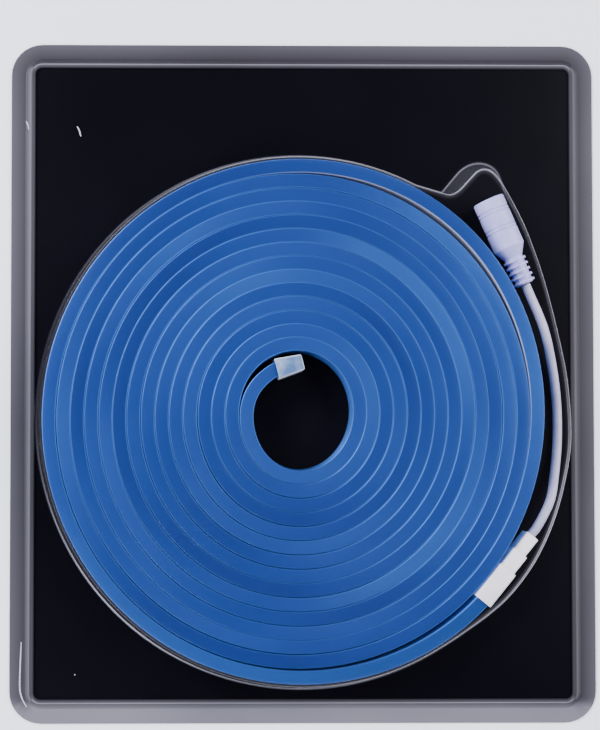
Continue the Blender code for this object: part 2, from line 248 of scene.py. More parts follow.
def findCoilCentre():
    # The frame's strip box against the same box worked out about zero
    low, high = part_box("neon_strip")
    stations = round(360.0 * turns / winding["partStation"])
    rim = []
    for station in range(stations + 1):
        angle = firstAngle + 360.0 * turns * station / stations
        rim.append(polar(angle, innerEdge(angle) + winding["width"]))
    return Vector((low.x - min(point.x for point in rim), high.y - max(point.y for point in rim), 0.0))


coilCentre = findCoilCentre()
stripLow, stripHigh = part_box("neon_strip")
boardLow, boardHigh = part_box("backing_board")
filmLow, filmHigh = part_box("clear_blister")
filmThickness = 0.0005
seatGap = 0.0003
boardMiddle = (boardLow + boardHigh) / 2.0
boardHalf = (boardHigh - boardLow) / 2.0
landTop = boardHigh.z + seatGap + filmThickness


def stripEnd(first):
    # Middle of the strip where it enters a fitting, and the way it goes in
    angle = firstAngle if first else lastAngle
    place = coilCentre + polar(angle, innerEdge(angle) + winding["width"] / 2.0)
    way = angle - 90.0 - winding["capLean"] if first else angle + 90.0 + winding["wireCapLean"]
    return place, polar(way, 1.0)


# Camera, at the photograph's place over the pack

view = {
    "place": (-0.03114, -0.02231, 0.44188), "turn": (0.0240, -0.0096, 0.0),
    "lens": 59.36, "shift": (0.0966, 0.0671),
}


def addCamera():
    data = bpy.data.cameras.new("camera")
    data.lens = view["lens"]
    data.shift_x, data.shift_y = view["shift"]
    data.clip_start = 0.01
    camera = bpy.data.objects.new("camera", data)
    camera.location = view["place"]
    camera.rotation_euler = view["turn"]
    bpy.context.scene.collection.objects.link(camera)
    bpy.context.scene.camera = camera


addCamera()
print("camera placed")


# Lead and socket, in the side pocket. Places on the route are (angle, distance out from the coil, lift)

socket = {
    "headPlace": (48.4, 0.0133), "tailPlace": (30.3, 0.0041), "radius": 0.00565,
    "headLength": 0.0215, "reliefLength": 0.0118,
    "bore": 0.0034, "boreDepth": 0.0095, "edge": 0.0005, "bands": (0.0049, 0.0117), "bandHalf": 0.00065,
    "grooveWidth": 0.0006, "grooveDepth": 0.0003, "grooveRounding": (0.00012, 0.00008, 0.00012),
    "shoulder": 0.0188, "neckPlace": 0.0222, "backRounding": (0.0011, 0.0005, 0.0001, 0.00025),
    "neckRadius": 0.0037, "ribs": 5, "ribStart": 0.0228, "ribWidth": 0.00172, "ribDepth": 0.0009,
    "ribEdge": 0.00015, "ribTail": 0.00345, "gapDepth": 0.0004, "sides": 72,
    "mouth": 0.0003, "contactWall": 0.0004, "contactLip": 0.0001,
    "pinRadius": 0.00105, "pinSetback": 0.0008, "pinTip": 0.3, "pinBevel": 0.0002, "pinRounding": 0.0005,
}
lead = {
    "diameter": 0.0033, "straight": 0.004, "points": 40,
    "route": ((20.0, 0.0029, 0.0052), (12.0, 0.0029, 0.0020), (4.0, 0.0032, 0.0),
              (356.0, 0.0034, 0.0), (348.5, 0.0037, 0.0012), (342.5, 0.0036, 0.0045)),
}
wireCap = {
    "insert": 0.0105, "sleeve": 0.0145, "collar": 0.0075, "neck": 0.0075,
    "sideWall": 0.0008, "sleeveWall": 0.0006, "gap": 0.0003, "step": 0.0005, "heightStep": 0.0012,
    "corner": 0.0009, "stepFillet": 0.00022, "endRun": 0.001,
}


def socketFrame():
    rest = boardHigh.z + seatGap + socket["radius"]
    head = coilCentre + polar(socket["headPlace"][0], coilRadius + socket["headPlace"][1])
    tail = coilCentre + polar(socket["tailPlace"][0], coilRadius + socket["tailPlace"][1])
    head.z = rest
    tail.z = rest
    return head, (tail - head).normalized()


def leadRoute():
    # The part's own route, from the wired fitting round to the socket, on one smooth curve
    head, back = socketFrame()
    tail = head + back * (socket["headLength"] + socket["reliefLength"] + seatGap)
    mouth, forward = stripEnd(False)
    neck = mouth + forward * (wireCap["sleeve"] + wireCap["collar"] + wireCap["neck"] + seatGap)
    neck.z = (stripLow.z + stripHigh.z) / 2.0
    points = [tail, tail + back * lead["straight"]]
    for angle, standOff, lift in lead["route"]:
        point = coilCentre + polar(angle, coilRadius + standOff)
        point.z = boardHigh.z + seatGap + lead["diameter"] / 2.0 + lift
        points.append(point)
    points += [neck + forward * lead["straight"], neck]
    return evenPoints(smoothRoute(points, 12), lead["points"])[::-1]


def evenPoints(points, count):
    lengths = [0.0]
    for here, there in zip(points, points[1:]):
        lengths.append(lengths[-1] + (there - here).length)
    spaced = []
    index = 0
    for number in range(count):
        wanted = lengths[-1] * number / (count - 1)
        while index < len(points) - 2 and lengths[index + 1] < wanted:
            index += 1
        share = (wanted - lengths[index]) / (lengths[index + 1] - lengths[index])
        spaced.append(points[index].lerp(points[index + 1], share))
    return spaced


def whitePvc(name, pale, shade, roughness):
    # Soft PVC, moulded or extruded: white with a cool cast, satin, slightly waxy
    # Clouds 4.5 mm across, and a 0.6 mm grain, coarser than the real one so that it shows
    material, tree, output = startMaterial(name)
    place = addNode(tree, "ShaderNodeTexCoord")
    cloud = addNode(tree, "ShaderNodeTexNoise", inputs={"Scale": 220.0, "Detail": 3.0},
                    links={"Vector": place.outputs["Object"]})
    colour = addNode(tree, "ShaderNodeValToRGB", stops=((0.3, shade), (0.7, pale)),
                     links={"Fac": cloud.outputs["Fac"]})
    grain = addNode(tree, "ShaderNodeTexNoise", inputs={"Scale": 1800.0, "Detail": 2.0},
                    links={"Vector": place.outputs["Object"]})
    bump = addNode(tree, "ShaderNodeBump", inputs={"Strength": 0.12, "Distance": 0.0001},
                   links={"Height": grain.outputs["Fac"]})
    shader = addNode(tree, "ShaderNodeBsdfPrincipled",
                     inputs={"Roughness": roughness, "IOR": 1.53, "Subsurface Weight": 0.12,
                             "Subsurface Radius": (1.0, 0.9, 0.8), "Subsurface Scale": 0.001},
                     links={"Base Color": colour.outputs["Color"], "Normal": bump.outputs["Normal"]})
    tree.links.new(shader.outputs["BSDF"], output.inputs["Surface"])
    return material


def platedMetal():
    # Nickel-plated contact: bright, with 1.1 mm patches of turning marks that spread its highlights
    material, tree, output = startMaterial("nickelPlate")
    place = addNode(tree, "ShaderNodeTexCoord")
    lines = addNode(tree, "ShaderNodeTexNoise", inputs={"Scale": 900.0, "Detail": 4.0},
                    links={"Vector": place.outputs["Object"]})
    rough = addNode(tree, "ShaderNodeMapRange", inputs={"To Min": 0.18, "To Max": 0.34},
                    links={"Value": lines.outputs["Fac"]})
    colour = addNode(tree, "ShaderNodeValToRGB", stops=((0.3, "#b9b6ae"), (0.7, "#d2d0ca")),
                     links={"Fac": lines.outputs["Fac"]})
    shader = addNode(tree, "ShaderNodeBsdfPrincipled", inputs={"Metallic": 1.0},
                     links={"Base Color": colour.outputs["Color"], "Roughness": rough.outputs["Result"]})
    tree.links.new(shader.outputs["BSDF"], output.inputs["Surface"])
    return material


def turnedRings(start, forward, profile, sides):
    across = Vector((-forward.y, forward.x, 0.0))
    rings = []
    for along, radius in profile:
        ring = []
        for index in range(sides):
            turn = 2.0 * math.pi * index / sides
            out = across * math.cos(turn) + Vector((0.0, 0.0, math.sin(turn)))
            ring.append(start + forward * along + out * radius)
        rings.append(ring)
    return rings


def buildLead(material):
    route = leadRoute()
    curve = bpy.data.curves.new("lead", "CURVE")
    curve.dimensions = "3D"
    curve.bevel_depth = lead["diameter"] / 2.0
    curve.bevel_resolution = 6
    curve.use_fill_caps = True
    curve.resolution_u = 1
    spline = curve.splines.new("POLY")
    spline.points.add(len(route) - 1)
    for point, place in zip(spline.points, route):
        point.co = (*place, 1.0)
    spline.use_smooth = True
    return addPiece("whiteLead", curve, material), route


def socketProfile():
    # Outside of the socket as (distance from its front face, radius), with rounded corners
    radius = socket["radius"]
    deep = radius - socket["grooveDepth"]
    corners = [(0.0, socket["bore"]), (0.0, radius)]
    rounding = [socket["edge"]]
    half = socket["grooveWidth"] / 2.0
    for band in socket["bands"]:
        for middle in (band - socket["bandHalf"], band + socket["bandHalf"]):
            corners += [(middle - half, radius), (middle, deep), (middle + half, radius)]
            rounding += socket["grooveRounding"]
    end = socket["headLength"] + socket["reliefLength"]
    core = socket["neckRadius"] - socket["gapDepth"]
    tail = socket["ribTail"] - socket["gapDepth"]
    corners += [(socket["shoulder"], radius), (socket["neckPlace"], socket["neckRadius"]),
                (socket["ribStart"], core), (end, tail), (end, lead["diameter"] / 2.0)]
    rounding += socket["backRounding"]
    return roundedProfile(pairs(*corners), rounding, 4)


def buildSocket(material):
    head, forward = socketFrame()
    outside = [(point.x, point.y) for point in socketProfile()]
    inside = [(socket["boreDepth"], socket["bore"]), (socket["mouth"], socket["bore"])]
    rings = turnedRings(head, forward, inside + outside, socket["sides"])
    return addPiece("socketBody", smoothMesh("socketBody", skinRings(rings), 50.0), material)


def ribTree(material):
    # Fins along the strain relief: a flat section swept round a circle, one at each point
    tree = bpy.data.node_groups.new("reliefRibs", "GeometryNodeTree")
    tree.interface.new_socket(name="Geometry", in_out="INPUT", socket_type="NodeSocketGeometry")
    for name in ("Rib Width", "Rib Depth", "Rib Edge"):
        tree.interface.new_socket(name=name, in_out="INPUT", socket_type="NodeSocketFloat")
    tree.interface.new_socket(name="Turn", in_out="INPUT", socket_type="NodeSocketVector")
    tree.interface.new_socket(name="Geometry", in_out="OUTPUT", socket_type="NodeSocketGeometry")
    source = addNode(tree, "NodeGroupInput")
    circle = addNode(tree, "GeometryNodeCurvePrimitiveCircle", inputs={"Resolution": 64, "Radius": 1.0})
    section = addNode(tree, "GeometryNodeCurvePrimitiveQuadrilateral",
                      links={"Width": source.outputs["Rib Depth"], "Height": source.outputs["Rib Width"]})
    fillet = addNode(tree, "GeometryNodeFilletCurve", links={"Radius": source.outputs["Rib Edge"]},
                     inputs={"Limit Radius": True, "Count": 3}, mode="POLY")
    tree.links.new(section.outputs["Curve"], fillet.inputs["Curve"])
    size = addNode(tree, "GeometryNodeInputNamedAttribute", inputs={"Name": "ribRadius"}, data_type="FLOAT")
    place = addNode(tree, "GeometryNodeInstanceOnPoints",
                    links={"Points": source.outputs["Geometry"], "Instance": circle.outputs["Curve"],
                           "Rotation": source.outputs["Turn"], "Scale": size.outputs["Attribute"]})
    real = addNode(tree, "GeometryNodeRealizeInstances", links={"Geometry": place.outputs["Instances"]})
    sweep = addNode(tree, "GeometryNodeCurveToMesh",
                    links={"Curve": real.outputs["Geometry"], "Profile Curve": fillet.outputs["Curve"]})
    smooth = addNode(tree, "GeometryNodeSetShadeSmooth", links={"Geometry": sweep.outputs["Mesh"]})
    finish = addNode(tree, "GeometryNodeSetMaterial", inputs={"Material": material},
                     links={"Geometry": smooth.outputs["Geometry"]})
    addNode(tree, "NodeGroupOutput", links={"Geometry": finish.outputs["Geometry"]})
    return tree


def buildRibs(material):
    head, forward = socketFrame()
    mesh = bpy.data.meshes.new("reliefRibs")
    count = socket["ribs"]
    last = socket["headLength"] + socket["reliefLength"]
    pitchAlong = (last - socket["ribStart"]) / count
    first = last - socket["ribWidth"] / 2.0
    places = [head + forward * (first - pitchAlong * number) for number in range(count)]
    mesh.from_pydata(places, [], [])
    radius = mesh.attributes.new("ribRadius", "FLOAT", "POINT")
    for number in range(count):
        outer = socket["ribTail"] + (socket["neckRadius"] - socket["ribTail"]) * number / count
        radius.data[number].value = outer - socket["ribDepth"] / 2.0
    ribs = addPiece("reliefRibs", mesh)
    modifier = ribs.modifiers.new("ribs", "NODES")
    modifier.node_group = ribTree(material)
    turn = Vector((0.0, 0.0, 1.0)).rotation_difference(forward).to_euler()
    setInputs(modifier, {"Rib Width": socket["ribWidth"], "Rib Depth": socket["ribDepth"],
                         "Rib Edge": socket["ribEdge"], "Turn": tuple(turn)})
    bakeModifiers(ribs)
    ribs.data.set_sharp_from_angle(angle=math.radians(35.0))
    return ribs


def buildContacts(material):
    head, forward = socketFrame()
    outer = socket["bore"] - seatGap
    inner = outer - socket["contactWall"]
    back = socket["boreDepth"] - seatGap
    floor = back - socket["contactWall"]
    mouth = socket["mouth"]
    lip = socket["contactLip"]
    profile = [(floor, inner), (mouth + lip, inner), (mouth, inner + lip),
               (mouth, outer - lip), (mouth + lip, outer), (back, outer)]
    sleeve = turnedRings(head, forward, profile, 48)
    contact = addPiece("socketContact", smoothMesh("socketContact", skinRings(sleeve)), material)
    radius = socket["pinRadius"]
    corners = [(floor - seatGap, radius), (socket["pinSetback"] + socket["pinBevel"], radius),
               (socket["pinSetback"], radius * socket["pinTip"])]
    profile = roundedProfile(pairs(*corners), [socket["pinRounding"]])
    rings = turnedRings(head, forward, [(point.x, point.y) for point in profile], 32)
    pin = addPiece("centrePin", smoothMesh("centrePin", skinRings(rings)), material)
    return contact, pin


leadWhite = whitePvc("leadPvc", "#beb9d0", "#b0abc4", 0.42)
socketWhite = whitePvc("socketPvc", "#b9b4e6", "#aaa5da", 0.38)
nickel = platedMetal()
leadPiece, route = buildLead(leadWhite)
socketBody = buildSocket(socketWhite)
ribs = buildRibs(socketWhite)
contactPiece, pinPiece = buildContacts(nickel)
for piece, slotName, node in ((leadPiece, "white_lead", "lead"), (socketBody, "white_socket", "socket_body"),
                              (contactPiece, "contact_metal", "socket_contact"),
                              (pinPiece, "contact_metal", "centre_pin")):
    settle(piece, slotName, node)
settle(ribs, "white_socket")


# Silicone strip, swept along the spiral. Its edges carry painted light: how much light they take round the
# coil

strip = {
    "section": (0.00488, 0.012), "edge": 0.0004, "crown": 0.00006, "crownPoints": (-0.7, 0.0, 0.7),
    "station": 2.5,
    "lift": 0.00016, "lean": 1.5, "period": 0.21, "endRoom": 0.012, "seed": 3.0,
    "capInsert": 0.0045, "wireInsert": 0.0102,
    "tones": ((0.30, "#182f69"), (0.45, "#1b3673"), (0.58, "#203e7c"), (0.75, "#274b8a")),
    # Side light: the strip's last 240 mm mixes to a paler cyan, painted light where the outer turn takes
    # light from the side
    "sideLightTone": "#19497f", "sideLightRun": (0.24, 0.08), "sideLightShare": 0.35,
    # Edge tones: pale blue painted highlight where the edges take light, dark blue painted shade in the
    # seams
    "edgeLightTones": ((0.0, "#16315f"), (1.0, "#5a95f0")), "edgeLightRun": (0.86, 0.98), "edgeLightShare": 0.8,
    "catch": (0.15, (138.0, 48.0, 0.8), (325.0, 28.0, 0.8), (25.0, 35.0, 0.25)),
    # Gap glint: a pale grey painted glint on the last turn's inner edge along the loose gap
    "gapGlintTone": "#bbb6be", "gapGlintBack": 0.43, "gapGlintReach": 0.09, "gapGlintRun": (-0.91, -0.99), "gapGlintShare": 0.9,
}


def blueSilicone(length):
    # Silicone rubber, extruded: satin, lets a little light in. Its edges, its end and the loose gap carry
    # painted light
    # Its tone drifts every 170 mm along the strip, with 17 mm clouds and a 0.7 mm grain
    material, tree, output = startMaterial("blueSilicone")
    place = addNode(tree, "ShaderNodeTexCoord")
    along = addNode(tree, "ShaderNodeAttribute", attribute_name="along")
    slow = addNode(tree, "ShaderNodeTexNoise", noise_dimensions="1D", inputs={"Scale": 6.0, "Detail": 2.0},
                   links={"W": along.outputs["Fac"]})
    tone = addNode(tree, "ShaderNodeValToRGB", stops=strip["tones"], links={"Fac": slow.outputs["Fac"]})
    cloud = addNode(tree, "ShaderNodeTexNoise", inputs={"Scale": 60.0, "Detail": 3.0},
                    links={"Vector": place.outputs["Object"]})
    patch = addNode(tree, "ShaderNodeMapRange", inputs={"To Min": 0.94, "To Max": 1.06},
                    links={"Value": cloud.outputs["Fac"]})
    across = addNode(tree, "ShaderNodeAttribute", attribute_name="across")
    side = addNode(tree, "ShaderNodeMath", operation="ABSOLUTE", links={0: across.outputs["Fac"]})
    # Painted edge light: each turn's edges mix to a pale blue painted highlight or to dark blue painted seam
    # shade
    rim = addNode(tree, "ShaderNodeMapRange", links={"Value": side.outputs[0]},
                  inputs={"From Min": strip["edgeLightRun"][0], "From Max": strip["edgeLightRun"][1],
                          "To Max": strip["edgeLightShare"]})
    catch = addNode(tree, "ShaderNodeAttribute", attribute_name="catch")
    edge = addNode(tree, "ShaderNodeValToRGB", stops=strip["edgeLightTones"], links={"Fac": catch.outputs["Fac"]})
    # Painted light: the strip's end turns paler cyan, where the outer turn takes light from the side
    sideLightStart, sideLightEnd = strip["sideLightRun"]
    tail = addNode(tree, "ShaderNodeMapRange", links={"Value": along.outputs["Fac"]},
                   inputs={"From Min": length - sideLightStart, "From Max": length - sideLightEnd,
                           "To Max": strip["sideLightShare"]})
    sideLit = addNode(tree, "ShaderNodeMix", data_type="RGBA", links={"Factor": tail.outputs["Result"]})
    tree.links.new(tone.outputs["Color"], sideLit.inputs["A"])
    sideLit.inputs["B"].default_value = linearColour(strip["sideLightTone"])
    edgeLit = addNode(tree, "ShaderNodeMix", data_type="RGBA", links={"Factor": rim.outputs["Result"]})
    tree.links.new(sideLit.outputs["Result"], edgeLit.inputs["A"])
    tree.links.new(edge.outputs["Color"], edgeLit.inputs["B"])
    # Painted glint: pale grey on the last turn's inner edge, along the loose gap
    fromGap = addNode(tree, "ShaderNodeMath", operation="SUBTRACT", inputs={1: length - strip["gapGlintBack"]},
                      links={0: along.outputs["Fac"]})
    distance = addNode(tree, "ShaderNodeMath", operation="ABSOLUTE", links={0: fromGap.outputs[0]})
    nearGap = addNode(tree, "ShaderNodeMapRange",
                      inputs={"From Min": strip["gapGlintReach"] * 0.5, "From Max": strip["gapGlintReach"],
                              "To Min": 1.0, "To Max": 0.0},
                      links={"Value": distance.outputs[0]})
    inner = addNode(tree, "ShaderNodeMapRange", links={"Value": across.outputs["Fac"]},
                    inputs={"From Min": strip["gapGlintRun"][0], "From Max": strip["gapGlintRun"][1],
                            "To Max": strip["gapGlintShare"]})
    gapGlint = addNode(tree, "ShaderNodeMath", operation="MULTIPLY",
                   links={0: nearGap.outputs["Result"], 1: inner.outputs["Result"]})
    lit = addNode(tree, "ShaderNodeMix", data_type="RGBA", links={"Factor": gapGlint.outputs[0]})
    tree.links.new(edgeLit.outputs["Result"], lit.inputs["A"])
    lit.inputs["B"].default_value = linearColour(strip["gapGlintTone"])
    colour = addNode(tree, "ShaderNodeVectorMath", operation="SCALE",
                     links={0: lit.outputs["Result"], "Scale": patch.outputs["Result"]})
    grain = addNode(tree, "ShaderNodeTexNoise", inputs={"Scale": 1500.0, "Detail": 2.0},
                    links={"Vector": place.outputs["Object"]})
    bump = addNode(tree, "ShaderNodeBump", inputs={"Strength": 0.03, "Distance": 0.00005},
                   links={"Height": grain.outputs["Fac"]})
    shader = addNode(tree, "ShaderNodeBsdfPrincipled",
                     inputs={"Roughness": 0.3, "IOR": 1.45, "Subsurface Weight": 0.25,
                             "Subsurface Radius": (0.25, 0.6, 1.4), "Subsurface Scale": 0.001,
                             "Specular IOR Level": 0.45, "Specular Tint": (0.25, 0.55, 1.0, 1.0),
                             "Coat Weight": 0.05, "Coat Roughness": 0.16, "Coat IOR": 1.5},
                     links={"Base Color": colour.outputs["Vector"], "Normal": bump.outputs["Normal"]})
    tree.links.new(shader.outputs["BSDF"], output.inputs["Surface"])
    return material


def stripSection():
    # The strip's outline as a flat closed curve, its light-emitting face upwards
    width, height = strip["section"]
    half = width / 2.0
    top = height / 2.0 - strip["crown"]
    edge = strip["edge"]
    points = [Vector((-half, 0.0)), Vector((-half, -height / 2.0)), Vector((half, -height / 2.0)),
              Vector((half, top)), Vector((-half, top)), Vector((-half, 0.0))]
    steps = 4
    outline = roundedProfile(points, [edge] * 4, steps)[1:-1]
    face = []
    for share in strip["crownPoints"]:
        face.append(Vector(((edge - half) * share, top + strip["crown"] * (1.0 - share ** 2))))
    faceStart = 3 * (steps + 1)
    outline = outline[:faceStart] + face + outline[faceStart:]
    curve = bpy.data.curves.new("stripSection", "CURVE")
    curve.dimensions = "2D"
    spline = curve.splines.new("POLY")
    spline.points.add(len(outline) - 1)
    for point, corner in zip(spline.points, outline):
        point.co = (corner.x, corner.y, 0.0, 1.0)
    spline.use_cyclic_u = True
    return addPiece("stripSection", curve)


def stripPath():
    start, startWay = stripEnd(True)
    end, endWay = stripEnd(False)
    count = round(360.0 * turns / strip["station"])
    points = [start + startWay * strip["capInsert"], start + startWay * strip["capInsert"] * 0.5]
    for station in range(count + 1):
        angle = firstAngle + 360.0 * turns * station / count
        points.append(coilCentre + polar(angle, innerEdge(angle) + winding["width"] / 2.0))
    points += [end + endWay * strip["wireInsert"] * share for share in (0.25, 0.5, 0.75, 1.0)]
    return raised(points, (stripLow.z + stripHigh.z) / 2.0)


def sweepTree(material, section):
    # A section swept along a path, with slow changes of height and lean that fade out at its ends
    tree = bpy.data.node_groups.new("stripSweep", "GeometryNodeTree")
    tree.interface.new_socket(name="Geometry", in_out="INPUT", socket_type="NodeSocketGeometry")
    for name in ("Lift", "Lean", "Period", "End Room", "Half Width", "Seed"):
        tree.interface.new_socket(name=name, in_out="INPUT", socket_type="NodeSocketFloat")
    tree.interface.new_socket(name="Geometry", in_out="OUTPUT", socket_type="NodeSocketGeometry")
    source = addNode(tree, "NodeGroupInput")
    path = addNode(tree, "GeometryNodeMeshToCurve", links={"Mesh": source.outputs["Geometry"]})
    upright = addNode(tree, "GeometryNodeSetCurveNormal", mode="Z_UP",
                      links={"Curve": path.outputs["Curve"]})
    along = addNode(tree, "GeometryNodeSplineParameter")
    wave = addNode(tree, "ShaderNodeMath", operation="DIVIDE",
                   links={0: along.outputs["Length"], 1: source.outputs["Period"]})
    fromEnd = addNode(tree, "ShaderNodeMath", operation="PINGPONG", inputs={1: 0.5},
                      links={0: along.outputs["Factor"]})
    fade = addNode(tree, "ShaderNodeMapRange", interpolation_type="SMOOTHSTEP", inputs={"From Min": 0.001},
                   links={"Value": fromEnd.outputs[0], "From Max": source.outputs["End Room"]})
    moves = []
    for shift, name in ((0.0, "Lift"), (50.0, "Lean")):
        seed = addNode(tree, "ShaderNodeMath", operation="ADD", inputs={1: shift},
                       links={0: source.outputs["Seed"]})
        place = addNode(tree, "ShaderNodeMath", operation="ADD",
                        links={0: wave.outputs[0], 1: seed.outputs[0]})
        noise = addNode(tree, "ShaderNodeTexNoise", noise_dimensions="1D",
                        inputs={"Scale": 1.0, "Detail": 1.0}, links={"W": place.outputs[0]})
        spread = addNode(tree, "ShaderNodeMapRange",
                         inputs={"From Min": 0.25, "From Max": 0.75, "To Min": -1.0, "To Max": 1.0},
                         links={"Value": noise.outputs["Fac"]})
        scaled = addNode(tree, "ShaderNodeMath", operation="MULTIPLY",
                         links={0: spread.outputs["Result"], 1: source.outputs[name]})
        moves.append(addNode(tree, "ShaderNodeMath", operation="MULTIPLY",
                             links={0: scaled.outputs[0], 1: fade.outputs["Result"]}))
    offset = addNode(tree, "ShaderNodeCombineXYZ", links={"Z": moves[0].outputs[0]})
    lifted = addNode(tree, "GeometryNodeSetPosition",
                     links={"Geometry": upright.outputs["Curve"], "Offset": offset.outputs["Vector"]})
    leant = addNode(tree, "GeometryNodeSetCurveTilt",
                    links={"Curve": lifted.outputs["Geometry"], "Tilt": moves[1].outputs[0]})
    named = addNode(tree, "GeometryNodeStoreNamedAttribute", data_type="FLOAT", domain="POINT",
                    inputs={"Name": "along"},
                    links={"Geometry": leant.outputs["Curve"], "Value": along.outputs["Length"]})
    profile = addNode(tree, "GeometryNodeObjectInfo", inputs={"Object": section})
    corner = addNode(tree, "GeometryNodeInputPosition")
    split = addNode(tree, "ShaderNodeSeparateXYZ", links={"Vector": corner.outputs["Position"]})
    side = addNode(tree, "ShaderNodeMath", operation="DIVIDE",
                   links={0: split.outputs["X"], 1: source.outputs["Half Width"]})
    marked = addNode(tree, "GeometryNodeStoreNamedAttribute", data_type="FLOAT", domain="POINT",
                     inputs={"Name": "across"},
                     links={"Geometry": profile.outputs["Geometry"], "Value": side.outputs[0]})
    swept = addNode(tree, "GeometryNodeCurveToMesh", inputs={"Fill Caps": True},
                    links={"Curve": named.outputs["Geometry"], "Profile Curve": marked.outputs["Geometry"]})
    smooth = addNode(tree, "GeometryNodeSetShadeSmooth", links={"Geometry": swept.outputs["Mesh"]})
    real = addNode(tree, "GeometryNodeRealizeInstances", links={"Geometry": smooth.outputs["Geometry"]})
    finish = addNode(tree, "GeometryNodeSetMaterial", inputs={"Material": material},
                     links={"Geometry": real.outputs["Geometry"]})
    addNode(tree, "NodeGroupOutput", links={"Geometry": finish.outputs["Geometry"]})
    return tree


def buildStrip():
    section = stripSection()
    points = stripPath()
    material = blueSilicone(sum((there - here).length for here, there in zip(points, points[1:])))
    mesh = bpy.data.meshes.new("neonStrip")
    mesh.from_pydata(points, [(index, index + 1) for index in range(len(points) - 1)], [])
    piece = addPiece("neonStrip", mesh)
    modifier = piece.modifiers.new("sweep", "NODES")
    modifier.node_group = sweepTree(material, section)
    setInputs(modifier, {"Lift": strip["lift"], "Lean": math.radians(strip["lean"]),
                         "Period": strip["period"], "End Room": strip["endRoom"],
                         "Half Width": strip["section"][0] / 2.0, "Seed": strip["seed"]})
    bakeModifiers(piece)
    bpy.data.objects.remove(section, do_unlink=True)
    skin = bmesh.new()
    skin.from_mesh(piece.data)
    bmesh.ops.recalc_face_normals(skin, faces=skin.faces)
    skin.to_mesh(piece.data)
    skin.free()
    # Painted edge light round the coil: highlight on the edges where they take light, shade in the seams
    # elsewhere
    catch = piece.data.attributes.new("catch", "FLOAT", "POINT")
    for vertex, item in zip(piece.data.vertices, catch.data):
        item.value = roundTone(angleOf(vertex.co), *strip["catch"])
    settle(piece, "blue_silicone", "neon_strip")
    print("strip swept,", len(piece.data.polygons), "faces")


buildStrip()


# Fittings on the strip's two ends

endCap = {
    "length": 0.0096, "insert": 0.0048, "sideWall": 0.001, "taper": 0.0009, "gap": 0.0003,
    "sleeveWall": 0.0006, "corner": 0.0007, "endFillet": 0.0005, "mouthBevel": 0.0001,
}
hollowEdge = {"chamfer": 0.0002, "corner": 0.0002, "mouthCorner": 0.0003}


def roundedBoxRing(centre, forward, halfWidth, low, high, corner, steps=4):
    across = Vector((-forward.y, forward.x, 0.0))
    ring = []
    for number, (side, level) in enumerate(((1, 1), (-1, 1), (-1, -1), (1, -1))):
        x = side * (halfWidth - corner)
        z = high - corner if level > 0 else low + corner
        for step in range(steps + 1):
            turn = math.radians(90.0 * number + 90.0 * step / steps)
            place = centre + across * (x + corner * math.cos(turn))
            ring.append(Vector((place.x, place.y, z + corner * math.sin(turn))))
    return ring


def fittingRings(mouth, forward, size, hollowDepth, stations):
    # A blind hollow round the strip first, then the outside as (along, half width, drop)
    low = stripLow.z - size["gap"]
    high = stripHigh.z + size["gap"]
    wall = size["sleeveWall"]
    hollow = winding["width"] / 2.0 + size["gap"]
    chamfer = hollowEdge["chamfer"]
    rings = [roundedBoxRing(mouth + forward * along, forward, hollow, low, high, hollowEdge["corner"])
             for along in (hollowDepth, chamfer)]
    rings.append(roundedBoxRing(mouth, forward, hollow + chamfer, low - chamfer, high + chamfer,
                                hollowEdge["mouthCorner"]))
    for along, halfWidth, drop in stations:
        corner = min(size["corner"], halfWidth * 0.45)
        rings.append(roundedBoxRing(mouth + forward * along, forward, halfWidth, low - wall + drop,
                                    high + wall - drop, corner))
    return rings


def clearSilicone():
    # Clear silicone cap: cloudy in 4 mm patches, so the strip inside tints it, and painted pale and less
    # clear towards its outline as seen, a painted sheen
    material, tree, output = startMaterial("clearSilicone")
    place = addNode(tree, "ShaderNodeTexCoord")
    cloud = addNode(tree, "ShaderNodeTexNoise", inputs={"Scale": 260.0, "Detail": 3.0},
                    links={"Vector": place.outputs["Object"]})
    rim = addNode(tree, "ShaderNodeLayerWeight", inputs={"Blend": 0.5})
    # Painted sheen: facing adds to the cloud, so the outline as seen turns pale
    cloudAndSheen = addNode(tree, "ShaderNodeMath", operation="MULTIPLY_ADD", inputs={1: 0.25},
                    links={0: cloud.outputs["Fac"], 2: rim.outputs["Facing"]})
    colour = addNode(tree, "ShaderNodeValToRGB", stops=((0.12, "#6c90c4"), (0.35, "#dfe8f4")),
                     links={"Fac": cloudAndSheen.outputs[0]})
    body = addNode(tree, "ShaderNodeBsdfPrincipled",
                   inputs={"Roughness": 0.3, "IOR": 1.41, "Subsurface Weight": 0.3,
                           "Subsurface Radius": (1.0, 1.1, 1.3), "Subsurface Scale": 0.0012},
                   links={"Base Color": colour.outputs["Color"]})
    clear = addNode(tree, "ShaderNodeBsdfTransparent")
    share = addNode(tree, "ShaderNodeMapRange",
                    inputs={"From Min": 0.1, "From Max": 0.5, "To Min": 0.5, "To Max": 0.92},
                    links={"Value": cloudAndSheen.outputs[0]})
    mixed = addNode(tree, "ShaderNodeMixShader",
                    links={"Fac": share.outputs["Result"], 1: clear.outputs["BSDF"],
                           2: body.outputs["BSDF"]})
    tree.links.new(mixed.outputs["Shader"], output.inputs["Surface"])
    return material


def buildEndCap():
    mouth, forward = stripEnd(True)
    half = winding["width"] / 2.0 + endCap["gap"] + endCap["sideWall"]
    fillet = endCap["endFillet"]
    corners = [(0.0, half), (endCap["length"], half - endCap["taper"]), (endCap["length"], 0.0)]
    profile = roundedProfile(pairs(*corners), [fillet])[:-1]
    bevel = endCap["mouthBevel"]
    stations = [(0.0, half - bevel, bevel), (bevel, half, 0.0)]
    for point in profile[1:]:
        inward = max(half - endCap["taper"] - point.y, 0.0)
        stations.append((point.x, point.y, inward))
    rings = fittingRings(mouth, forward, endCap, endCap["insert"], stations)
    piece = addPiece("endCap", smoothMesh("endCap", skinRings(rings), 50.0), clearSilicone())
    settle(piece, "clear_cap", "end_cap")


